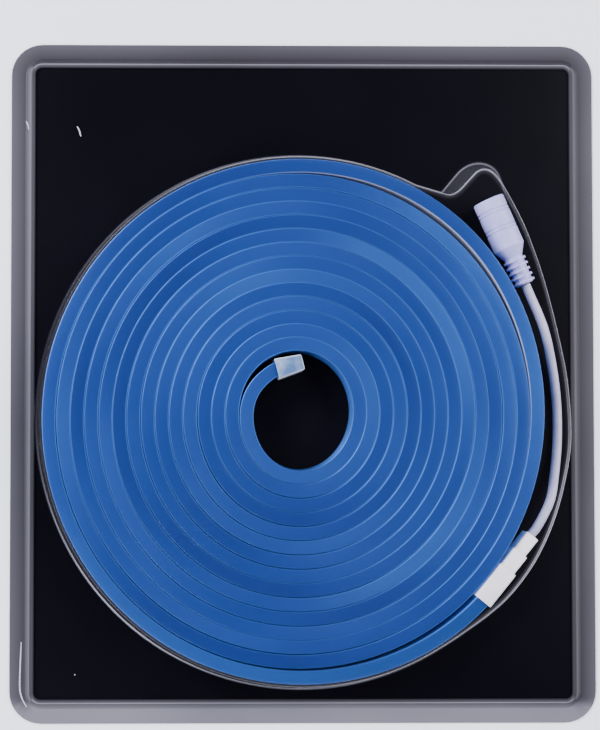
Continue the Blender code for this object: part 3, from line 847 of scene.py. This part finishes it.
def buildWireCap():
    mouth, forward = stripEnd(False)
    sleeve = winding["width"] / 2.0 + wireCap["gap"] + wireCap["sideWall"]
    collar = sleeve - wireCap["step"]
    neck = collar - wireCap["step"]
    collarEnd = wireCap["sleeve"] + wireCap["collar"]
    neckEnd = collarEnd + wireCap["neck"]
    fillet = wireCap["stepFillet"]
    inward = wireCap["endRun"]
    corners = [(0.0, sleeve - inward), (0.0, sleeve), (wireCap["sleeve"], sleeve),
               (wireCap["sleeve"], collar), (collarEnd, collar), (collarEnd, neck),
               (neckEnd, neck), (neckEnd, neck - inward)]
    profile = roundedProfile(pairs(*corners), [fillet] * (len(corners) - 2), 3)[1:-1]
    stations = []
    for point in profile:
        drop = (sleeve - point.y) / wireCap["step"] * wireCap["heightStep"]
        stations.append((point.x, point.y, max(drop, 0.0)))
    rings = fittingRings(mouth, forward, wireCap, wireCap["insert"], stations)
    material = whitePvc("fittingPvc", "#fdf6f7", "#f6eff2", 0.4)
    piece = addPiece("wireEndCap", smoothMesh("wireEndCap", skinRings(rings), 50.0), material)
    settle(piece, "white_fitting", "wire_end_cap")


buildEndCap()
buildWireCap()
print("fittings made")


# Board and clear film
# Lines and hazes on the film are painted highlights and haze: a base tone, then sectors round the coil as
# (angle, spread, amount); the route is the side pocket's wall as (angle, distance out from the coil)

board = {"corner": 0.003, "bevel": 0.0003}
blister = {
    "wallGap": 0.0003, "draft": 0.0035, "draftStart": 0.0009, "wideFoot": (51.5, 2.5, 0.6),
    "topFillet": 0.0006, "footFillet": 0.0002, "topRun": 0.002, "footRun": 0.0005,
    "edgeGap": 0.0004, "stepRun": 0.0022, "stepFillet": 0.0009, "flange": 0.0085,
    "arcStep": 2.5, "routeRoom": 5.0, "routeSteps": 6, "sideStep": 0.005,
    "topRing": 4.2, "topSpread": 1.3, "footRing": 11.0, "footSpread": 1.4,
    # Top and foot lines are painted highlights on the pocket's bends, brightest in the sectors that take
    # light
    "topGlintLine": (0.15, (30.0, 35.0, 0.45), (335.0, 25.0, 0.6), (95.0, 40.0, 0.3), (285.0, 25.0, 0.25),
                (170.0, 30.0, -0.12)),
    "footGlintLine": (0.08, (228.0, 25.0, 0.9), (275.0, 30.0, 0.4), (95.0, 35.0, 0.25), (54.0, 6.0, 0.15),
                 (335.0, 25.0, 0.6), (170.0, 30.0, -0.08)),
    # The veil is painted glare in cloudy patches on the pocket's top
    "wallHazeAndGlint": (0.012, (54.0, 6.0, 0.01), (335.0, 22.0, 0.05)), "veil": 0.02, "lowEndLightRun": 0.003,
    # Step lines are painted highlights, and the low end's paler tone is painted light
    "hazeStart": 0.0007, "stepGlintTones": (0.4, 0.16), "stepGlintRings": (4.0, 7.0), "stepGlintSpreads": (1.6, 0.8),
    "outerTone": 0.08, "lowEndLight": 0.27,
    "route": ((306.0, 0.0017), (310.5, 0.0022), (315.0, 0.0031), (320.0, 0.0041), (326.0, 0.0046),
              (332.0, 0.0047), (339.0, 0.0045), (347.0, 0.0042), (356.0, 0.0042), (8.0, 0.0038),
              (19.0, 0.0046), (28.5, 0.0074),
              (35.0, 0.0103), (41.0, 0.0136), (47.0, 0.0170), (50.2, 0.0187), (52.2, 0.0186),
              (53.4, 0.0164), (53.8, 0.0120), (54.2, 0.0066), (55.3, 0.0034), (57.6, 0.0020)),
}


def rectangleOutline(out, corner, steps=8):
    # The board's outline grown by out, anticlockwise, with points along its sides too
    half = boardHalf + Vector((out, out, 0.0))
    outline = []
    for number, (sideX, sideY) in enumerate(((1, 1), (-1, 1), (-1, -1), (1, -1))):
        middle = boardMiddle + Vector((sideX * (half.x - corner), sideY * (half.y - corner), 0.0))
        for step in range(steps + 1):
            outline.append(middle + polar(90.0 * number + 90.0 * step / steps, corner))
        length = 2.0 * (boardHalf.x if number % 2 == 0 else boardHalf.y)
        between = round(length / blister["sideStep"])
        nextX, nextY = ((-1, 1), (-1, -1), (1, -1), (1, 1))[number]
        following = boardMiddle + Vector((nextX * (half.x - corner), nextY * (half.y - corner), 0.0))
        following += polar(90.0 * (number + 1), corner)
        last = outline[-1]
        outline += [last.lerp(following, step / between) for step in range(1, between)]
    return outline


def pocketOutline():
    # Inner face of the pocket's wall at its top
    route = blister["route"]
    arcStart = route[-1][0] + blister["routeRoom"]
    arcEnd = route[0][0] - blister["routeRoom"]
    count = round((arcEnd - arcStart) / blister["arcStep"])
    arc = []
    for index in range(count + 1):
        angle = arcStart + (arcEnd - arcStart) * index / count
        arc.append(polar(angle, innerEdge(lastTurn(angle)) + winding["width"] + blister["wallGap"]))
    bend = [polar(angle, coilRadius + blister["wallGap"] + out) for angle, out in route]
    outline = arc + smoothRoute([arc[-1]] + bend + [arc[0]], blister["routeSteps"])[1:-1]
    return [coilCentre + point for point in outline]


def printedCard():
    # Black printed card: solid ink with a faint blue cast, semi-gloss
    # Ink clouds 70 mm across, and a 0.7 mm paper grain, coarser than the real one so that it shows
    material, tree, output = startMaterial("blackCard")
    place = addNode(tree, "ShaderNodeTexCoord")
    cloud = addNode(tree, "ShaderNodeTexNoise", inputs={"Scale": 14.0, "Detail": 4.0},
                    links={"Vector": place.outputs["Object"]})
    colour = addNode(tree, "ShaderNodeValToRGB", stops=((0.35, "#050409"), (0.65, "#09070f")),
                     links={"Fac": cloud.outputs["Fac"]})
    grain = addNode(tree, "ShaderNodeTexNoise", inputs={"Scale": 1400.0, "Detail": 2.0},
                    links={"Vector": place.outputs["Object"]})
    bump = addNode(tree, "ShaderNodeBump", inputs={"Strength": 0.15, "Distance": 0.0001},
                   links={"Height": grain.outputs["Fac"]})
    shader = addNode(tree, "ShaderNodeBsdfPrincipled",
                     inputs={"Roughness": 0.4, "IOR": 1.5, "Specular IOR Level": 0.05},
                     links={"Base Color": colour.outputs["Color"], "Normal": bump.outputs["Normal"]})
    tree.links.new(shader.outputs["BSDF"], output.inputs["Surface"])
    return material


def clearFilm():
    # Thermoformed clear film: thin and glossy, dull where milky; its milky lines are painted highlights and
    # its milky flange is painted shade
    # It swells in 33 mm waves, and its haze has 110 mm clouds
    material, tree, output = startMaterial("clearFilm")
    place = addNode(tree, "ShaderNodeTexCoord")
    haze = addNode(tree, "ShaderNodeAttribute", attribute_name="haze")
    veil = addNode(tree, "ShaderNodeAttribute", attribute_name="veil")
    pale = addNode(tree, "ShaderNodeAttribute", attribute_name="pale")
    swell = addNode(tree, "ShaderNodeTexNoise", inputs={"Scale": 30.0, "Detail": 1.0},
                    links={"Vector": place.outputs["Object"]})
    bump = addNode(tree, "ShaderNodeBump", inputs={"Strength": 0.3, "Distance": 0.0005},
                   links={"Height": swell.outputs["Fac"]})
    clear = addNode(tree, "ShaderNodeBsdfTransparent", inputs={"Color": (0.985, 0.985, 0.99, 1.0)})
    gloss = addNode(tree, "ShaderNodeBsdfGlossy", links={"Normal": bump.outputs["Normal"]},
                    inputs={"Roughness": 0.16, "Color": (0.16, 0.16, 0.17, 1.0)})
    facing = addNode(tree, "ShaderNodeLayerWeight", inputs={"Blend": 0.5},
                     links={"Normal": bump.outputs["Normal"]})
    steep = addNode(tree, "ShaderNodeMath", operation="POWER", inputs={1: 5.0},
                    links={0: facing.outputs["Facing"]})
    mirror = addNode(tree, "ShaderNodeMath", operation="MULTIPLY_ADD", inputs={1: 0.96, 2: 0.04},
                     links={0: steep.outputs[0]})
    sheen = addNode(tree, "ShaderNodeMapRange", inputs={"From Max": 0.01, "To Min": 1.0, "To Max": 0.0},
                    links={"Value": haze.outputs["Fac"]})
    shine = addNode(tree, "ShaderNodeMath", operation="MULTIPLY",
                    links={0: mirror.outputs[0], 1: sheen.outputs["Result"]})
    sheet = addNode(tree, "ShaderNodeMixShader",
                    links={"Fac": shine.outputs[0], 1: clear.outputs["BSDF"], 2: gloss.outputs["BSDF"]})
    cloud = addNode(tree, "ShaderNodeTexNoise", inputs={"Scale": 9.0, "Detail": 3.0},
                    links={"Vector": place.outputs["Object"]})
    # Milky colours: dull dark grey is painted shade, standing in for the shaded table seen through the film;
    # light grey carries the painted highlights
    dull = addNode(tree, "ShaderNodeValToRGB", stops=((0.35, "#252228"), (0.65, "#2e2a31")),
                   links={"Fac": cloud.outputs["Fac"]})
    light = addNode(tree, "ShaderNodeValToRGB", stops=((0.35, "#a5a2ad"), (0.65, "#bab7c1")),
                    links={"Fac": cloud.outputs["Fac"]})
    grey = addNode(tree, "ShaderNodeMix", data_type="RGBA", links={"Factor": pale.outputs["Fac"]})
    tree.links.new(dull.outputs["Color"], grey.inputs["A"])
    tree.links.new(light.outputs["Color"], grey.inputs["B"])
    dents = addNode(tree, "ShaderNodeBump", inputs={"Strength": 0.2, "Distance": 0.001},
                    links={"Height": swell.outputs["Fac"]})
    milky = addNode(tree, "ShaderNodeBsdfPrincipled",
                    inputs={"Roughness": 0.5, "IOR": 1.5, "Specular IOR Level": 0.25},
                    links={"Base Color": grey.outputs["Result"], "Normal": dents.outputs["Normal"]})
    # Painted glare: a cloudy veil on the pocket's top
    patches = addNode(tree, "ShaderNodeMapRange", inputs={"From Min": 0.4, "From Max": 0.7},
                      links={"Value": cloud.outputs["Fac"]})
    patchy = addNode(tree, "ShaderNodeMath", operation="MULTIPLY",
                     links={0: patches.outputs["Result"], 1: veil.outputs["Fac"]})
    share = addNode(tree, "ShaderNodeMath", operation="MULTIPLY_ADD", inputs={1: 0.95},
                    links={0: haze.outputs["Fac"], 2: patchy.outputs[0]})
    mixed = addNode(tree, "ShaderNodeMixShader",
                    links={"Fac": share.outputs[0], 1: sheet.outputs["Shader"], 2: milky.outputs["BSDF"]})
    tree.links.new(mixed.outputs["Shader"], output.inputs["Surface"])
    return material


def buildBoard():
    bevel = board["bevel"]
    corners = [(-bevel, boardLow.z), (0.0, boardLow.z + bevel),
               (0.0, boardHigh.z - bevel), (-bevel, boardHigh.z)]
    rings = [raised(rectangleOutline(out, board["corner"] + out), height) for out, height in corners]
    piece = addPiece("backingBoard", smoothMesh("backingBoard", skinRings(rings), 30.0), printedCard())
    settle(piece, "black_board", "backing_board")


def filmProfiles():
    # Both profiles as (distance outwards, height): the pocket's from its wall, the flange's from the board
    film = filmThickness
    slope = blister["draft"] / (filmHigh.z - boardHigh.z - seatGap - film)
    wallTop = film - slope * blister["draftStart"]
    wallFoot = wallTop + slope * (filmHigh.z - landTop)
    pocket = [(wallTop - blister["topRun"], filmHigh.z), (wallTop, filmHigh.z), (wallFoot, landTop),
              (wallFoot + blister["footRun"], landTop)]
    pocket = roundedProfile(pairs(*pocket), [blister["topFillet"], blister["footFillet"]], 6)
    stepTop = blister["edgeGap"] + film
    flange = [(0.0, landTop), (stepTop, landTop), (stepTop + blister["stepRun"], film),
              (blister["flange"], film)]
    flange = roundedProfile(pairs(*flange), [blister["stepFillet"]] * 2)
    return pocket, [Vector((-blister["hazeStart"], landTop))] + flange


def wallHighlightAndHaze(number, count, angle):
    # Painted highlight on a ring of the pocket's wall: a light line on its top bend, one on its foot, little
    # haze between
    if number == 0 or number == count - 1:
        return 0.0
    topShape = math.exp(-((number - blister["topRing"]) / blister["topSpread"]) ** 2)
    footShape = math.exp(-((number - blister["footRing"]) / blister["footSpread"]) ** 2)
    top = topShape * roundTone(angle, *blister["topGlintLine"])
    foot = footShape * roundTone(angle, *blister["footGlintLine"])
    return min(top + foot + roundTone(angle, *blister["wallHazeAndGlint"]), 1.0)


def flangeLight(place, number, count):
    # Paleness of a flange point: a painted highlight line down the step, painted light that makes the low
    # end paler, and a light outer edge
    away = Vector((max(abs(place.x - boardMiddle.x) - boardHalf.x, 0.0),
                   max(abs(place.y - boardMiddle.y) - boardHalf.y, 0.0)))
    sideways = away.x / max(away.x + away.y, 0.0001)
    tone, ring, spread = [atTop + (atSide - atTop) * sideways for atTop, atSide in
                          (blister["stepGlintTones"], blister["stepGlintRings"], blister["stepGlintSpreads"])]
    line = tone * math.exp(-((number - ring) / spread) ** 2)
    lowEnd = min(max((boardLow.y - place.y) / blister["lowEndLightRun"], 0.0), 1.0)
    return max(line, lowEnd * blister["lowEndLight"], blister["outerTone"] if number == count - 1 else 0.0)


def buildBlister():
    pocket, flange = filmProfiles()
    outline = pocketOutline()
    skin = bmesh.new()
    haze = skin.verts.layers.float.new("haze")
    veil = skin.verts.layers.float.new("veil")
    pale = skin.verts.layers.float.new("pale")

    def addLoops(rings):
        loops = [[skin.verts.new(point) for point in ring] for ring in rings]
        count = len(loops[0])
        for inner, outer in zip(loops, loops[1:]):
            for index in range(count):
                after = (index + 1) % count
                skin.faces.new((inner[index], outer[index], outer[after], inner[after]))
        return loops

    def loopEdges(loop):
        return [skin.edges.get((loop[index], loop[index - 1])) for index in range(len(loop))]

    wall = addLoops([raised(grown(outline, point.x, blister["wideFoot"]), point.y) for point in pocket])
    rim = addLoops([raised(rectangleOutline(point.x, board["corner"] + point.x), point.y)
                    for point in flange])
    # Wall rings: painted highlight lines in light grey, with a little haze
    for number, loop in enumerate(wall):
        for vertex in loop:
            vertex[haze] = wallHighlightAndHaze(number, len(pocket), angleOf(vertex.co))
            vertex[pale] = 1.0 if number else 0.0
    # Painted glare on the pocket's top
    for vertex in wall[0]:
        vertex[veil] = blister["veil"]
    # Flange rings: milky dull grey painted shade, with painted highlight lines and a paler low end
    for number, loop in enumerate(rim):
        for vertex in loop:
            vertex[haze] = 0.0 if number == 0 else 1.0
            vertex[pale] = flangeLight(vertex.co, number, len(rim))
    up = Vector((0.0, 0.0, 1.0))
    bmesh.ops.triangle_fill(skin, use_beauty=True, edges=loopEdges(wall[0]), normal=up)
    land = loopEdges(wall[-1]) + loopEdges(rim[0])
    bmesh.ops.triangle_fill(skin, use_beauty=True, edges=land, normal=up)
    bmesh.ops.recalc_face_normals(skin, faces=skin.faces)
    piece = addPiece("clearBlister", smoothMesh("clearBlister", skin, 60.0), clearFilm())
    wallStep = piece.modifiers.new("thickness", "SOLIDIFY")
    wallStep.thickness = filmThickness
    wallStep.offset = -1.0
    bakeModifiers(piece)
    piece.data.set_sharp_from_angle(angle=math.radians(60.0))
    settle(piece, "clear_film", "clear_blister")


marksAndGlints = {
    "width": 0.0005, "height": 0.00003, "taper": 0.35, "tones": ((0.35, "#8b8a95"), (0.65, "#b9b8c2")),
    # Paths: a scratch, a speck, then two painted glints, on the step and along the lower left flange
    "paths": (((-0.08284, 0.0938, 0.0), (-0.08211, 0.09251, 0.0), (-0.08177, 0.09136, 0.0),
               (-0.08144, 0.09011, 0.0)),
              ((-0.08321, -0.10632, 0.0), (-0.083, -0.10654, 0.0)),
              ((-0.10175, 0.09604, -0.00162), (-0.10101, 0.09456, -0.00112),
               (-0.10064, 0.09289, -0.00084)),
              ((-0.10283, -0.09488, -0.0018), (-0.10316, -0.10322, -0.0018),
               (-0.1033, -0.11156, -0.0018), (-0.10238, -0.11555, -0.0018),
               (-0.10073, -0.11845, -0.0018))),
}


def buildMarksAndGlints():
    # A scratch and a speck on the film, and two painted glints, one on a crease in the step and one along
    # the flange, as thin raised slivers with a 0.4 mm grain
    material, tree, output = startMaterial("scratchedFilm")
    place = addNode(tree, "ShaderNodeTexCoord")
    grain = addNode(tree, "ShaderNodeTexNoise", inputs={"Scale": 2500.0, "Detail": 2.0},
                    links={"Vector": place.outputs["Object"]})
    colour = addNode(tree, "ShaderNodeValToRGB", stops=marksAndGlints["tones"], links={"Fac": grain.outputs["Fac"]})
    shader = addNode(tree, "ShaderNodeBsdfPrincipled", inputs={"Roughness": 0.6},
                     links={"Base Color": colour.outputs["Color"]})
    tree.links.new(shader.outputs["BSDF"], output.inputs["Surface"])
    skin = bmesh.new()
    for path in marksAndGlints["paths"]:
        points = smoothRoute([Vector((x, y, landTop + lift)) for x, y, lift in path], 4)
        rings = []
        for index, point in enumerate(points):
            ahead = points[min(index + 1, len(points) - 1)] - points[max(index - 1, 0)]
            across = Vector((-ahead.y, ahead.x, 0.0)).normalized()
            share = math.sin(math.pi * (index + 1) / (len(points) + 1)) ** marksAndGlints["taper"]
            half = marksAndGlints["width"] * share / 2.0
            rise = Vector((0.0, 0.0, marksAndGlints["height"]))
            rings.append([point - across * half, point + across * half,
                          point + across * half * 0.5 + rise, point - across * half * 0.5 + rise])
        skinRings(rings, skin)
    settle(addPiece("filmMarks", smoothMesh("filmMarks", skin), material), "clear_film")


buildBoard()
buildBlister()
buildMarksAndGlints()
print("board and film made")


# Floor and lights

studio = {
    "floor": ((0.3, "#e9e9ec"), (0.7, "#eeeef0")), "reach": 3.0, "world": "#17181d",
    "lamps": (
        ("keyLamp", (-0.92, 0.53, 0.75), 0.8, 46.0, "#eef3ff"),
        ("fillLamp", (0.95, 0.25, 0.75), 1.0, 33.0, "#f4f6ff"),
        ("frontLamp", (-0.65, -0.8, 0.7), 0.8, 21.0, "#eef3ff"),
    ),
}


def paperFloor():
    # Matt studio paper: pale, nearly even, with clouds 330 mm across
    material, tree, output = startMaterial("paperFloor")
    place = addNode(tree, "ShaderNodeTexCoord")
    cloud = addNode(tree, "ShaderNodeTexNoise", inputs={"Scale": 3.0, "Detail": 2.0},
                    links={"Vector": place.outputs["Object"]})
    colour = addNode(tree, "ShaderNodeValToRGB", stops=studio["floor"], links={"Fac": cloud.outputs["Fac"]})
    shader = addNode(tree, "ShaderNodeBsdfPrincipled", inputs={"Roughness": 0.9},
                     links={"Base Color": colour.outputs["Color"]})
    tree.links.new(shader.outputs["BSDF"], output.inputs["Surface"])
    return material


def addStudio():
    mesh = bpy.data.meshes.new("floor")
    reach = studio["reach"]
    corners = [(-reach, -reach, 0.0), (reach, -reach, 0.0), (reach, reach, 0.0), (-reach, reach, 0.0)]
    mesh.from_pydata(corners, [], [(0, 1, 2, 3)])
    floor = addPiece("floor", mesh, paperFloor())
    for name, place, size, power, hexValue in studio["lamps"]:
        data = bpy.data.lights.new(name, "AREA")
        data.size = size
        data.energy = power
        data.color = linearColour(hexValue)[:3]
        lamp = bpy.data.objects.new(name, data)
        lamp.location = place
        lamp.rotation_euler = (-Vector(place)).to_track_quat("-Z", "Y").to_euler()
        bpy.context.scene.collection.objects.link(lamp)
    world = bpy.data.worlds.new("studio")
    world.use_nodes = True
    world.node_tree.nodes["Background"].inputs["Color"].default_value = linearColour(studio["world"])
    bpy.context.scene.world = world


addStudio()
print("studio lit")
